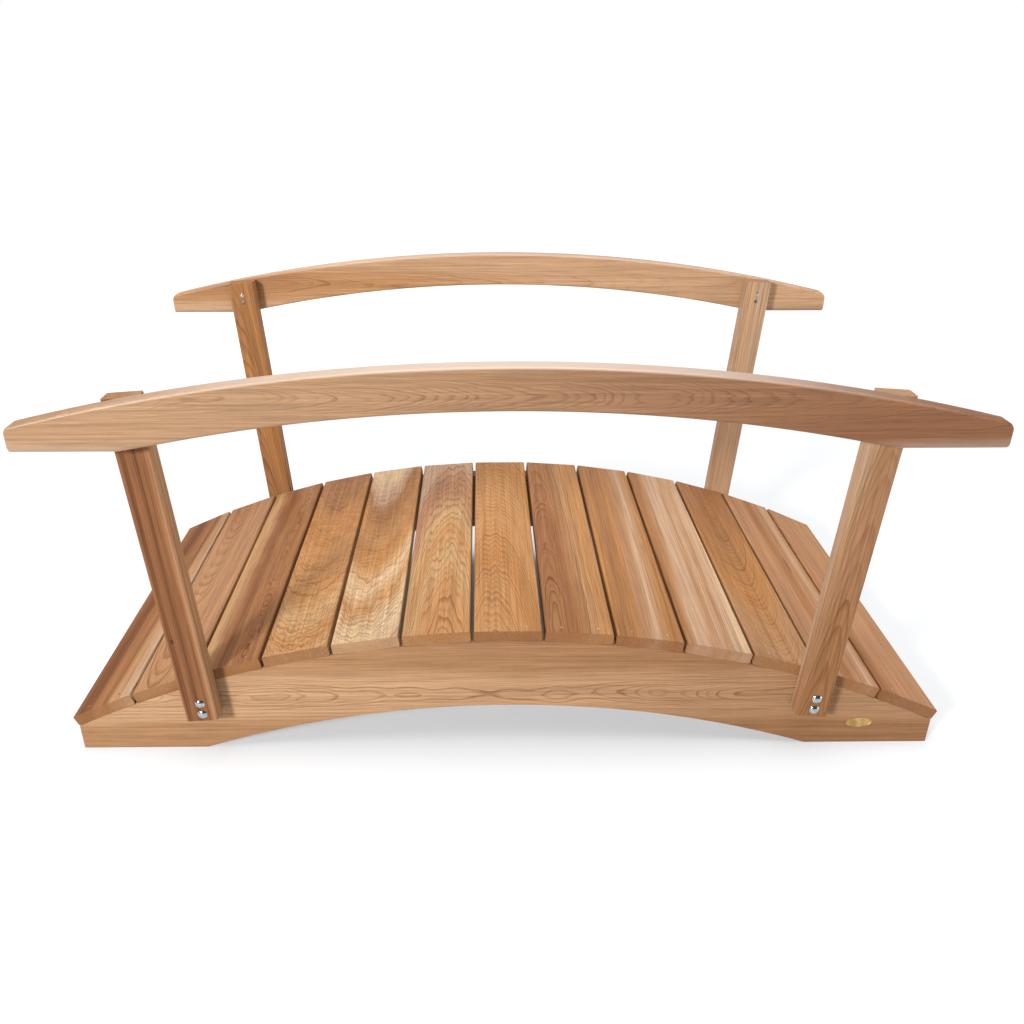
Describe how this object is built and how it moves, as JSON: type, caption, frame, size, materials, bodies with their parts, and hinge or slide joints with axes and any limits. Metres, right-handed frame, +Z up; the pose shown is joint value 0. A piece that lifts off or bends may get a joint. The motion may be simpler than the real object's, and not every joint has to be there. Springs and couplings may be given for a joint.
{
  "type": "arched garden footbridge",
  "caption": "Small arched timber garden bridge: curved side beams on level feet carry cross boards, and leaning posts hold a bowed handrail on each side.",
  "frame": {"origin": "on the ground under the middle of the deck", "axes": "+X along the bridge, +Y across it towards the back handrail, +Z up"},
  "size_m": [1.8476, 1.025, 0.874],
  "materials": {
    "beam_timber": "planed, unfinished",
    "deck_timber": "planed, unfinished",
    "post_timber": "planed, unfinished",
    "rail_timber": "planed, unfinished",
    "bright_zinc": "bright zinc plated bolts, screws and nails",
    "plate_brass": "satin blank plate"
  },
  "bodies": {
    "root": {"front_beam": "beam_timber", "back_beam": "beam_timber", "deck_board_01": "deck_timber", "deck_board_02": "deck_timber", "deck_board_03": "deck_timber", "deck_board_04": "deck_timber", "deck_board_05": "deck_timber", "deck_board_06": "deck_timber", "deck_board_07": "deck_timber", "deck_board_08": "deck_timber", "deck_board_09": "deck_timber", "deck_board_10": "deck_timber", "deck_board_11": "deck_timber", "deck_board_12": "deck_timber", "deck_board_13": "deck_timber", "front_left_post": "post_timber", "front_right_post": "post_timber", "back_left_post": "post_timber", "back_right_post": "post_timber", "front_handrail": "rail_timber", "back_handrail": "rail_timber"}
  },
  "joints": []
}
